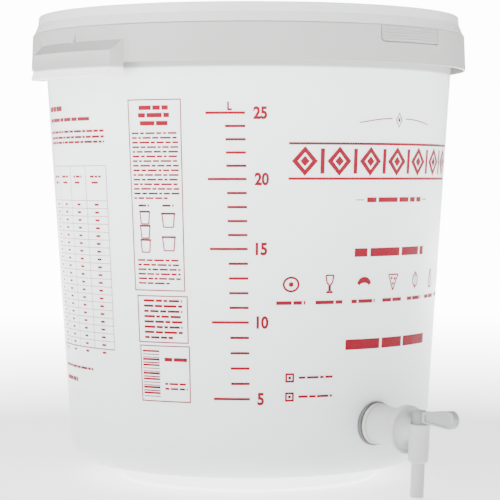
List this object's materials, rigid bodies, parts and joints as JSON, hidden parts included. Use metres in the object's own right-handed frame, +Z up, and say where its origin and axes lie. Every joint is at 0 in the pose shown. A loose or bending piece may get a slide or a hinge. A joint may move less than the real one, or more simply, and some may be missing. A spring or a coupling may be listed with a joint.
{
  "type": "fermenting bucket",
  "caption": "Tapered plastic fermenting bucket with a deep outer collar, side grips, a press-on lid with a bung, and a plug tap with a downward spout low on the wall.",
  "frame": {"origin": "centre of the face the bucket stands on", "axes": "+Z up along the tub's axis; the tap is at the front, towards -Y; the grips are at -X and +X"},
  "size_m": [0.4068, 0.4429, 0.3996],
  "materials": {
    "tub_plastic": "translucent white moulded polypropylene, soft satin",
    "lid_plastic": "white moulded polypropylene, satin",
    "tap_plastic": "milky white moulded plastic, satin",
    "lever_plastic": "light grey moulded plastic, semi-gloss",
    "plug_plastic": "dark grey moulded plastic, semi-gloss",
    "washer_rubber": "dark grey rubber",
    "gasket_rubber": "pale soft rubber",
    "bung_rubber": "red-brown natural rubber",
    "print_ink": "deep red screen-printed ink"
  },
  "bodies": {
    "bucket": {"bucket": "tub_plastic", "tap_body": "tap_plastic", "tap_nut": "tap_plastic", "tap_washer_outer": "washer_rubber", "tap_washer_inner": "washer_rubber"},
    "tear_tab": {"tear_tab": "tub_plastic"},
    "lid": {"lid": "lid_plastic", "lid_gasket": "gasket_rubber"},
    "bung": {"airlock_bung": "bung_rubber"},
    "stopper": {"bung_stopper": "bung_rubber"},
    "tap_lever": {"tap_plug": "plug_plastic", "tap_lever": "lever_plastic"}
  },
  "joints": [
    {"name": "lid_lift", "type": "slide", "parent": "bucket", "child": "lid", "axis": [0, 0, 1], "range_m": [0, 0.12]},
    {"name": "bung_pull", "type": "slide", "parent": "lid", "child": "bung", "axis": [0, 0, 1], "range_m": [0, 0.04]},
    {"name": "stopper_pull", "type": "slide", "parent": "bung", "child": "stopper", "axis": [0, 0, 1], "range_m": [0, 0.03]},
    {"name": "tap_turn", "type": "hinge", "parent": "bucket", "child": "tap_lever", "pos_m": [0, -0.21065, 0.04116], "axis": [0, -0.0489, 0.9988], "range_deg": [-90, 90]},
    {"name": "tab_peel", "type": "hinge", "parent": "bucket", "child": "tear_tab", "pos_m": [0.04823, -0.18383, 0.364], "axis": [0, 0, 1], "range_deg": [0, 100]}
  ]
}
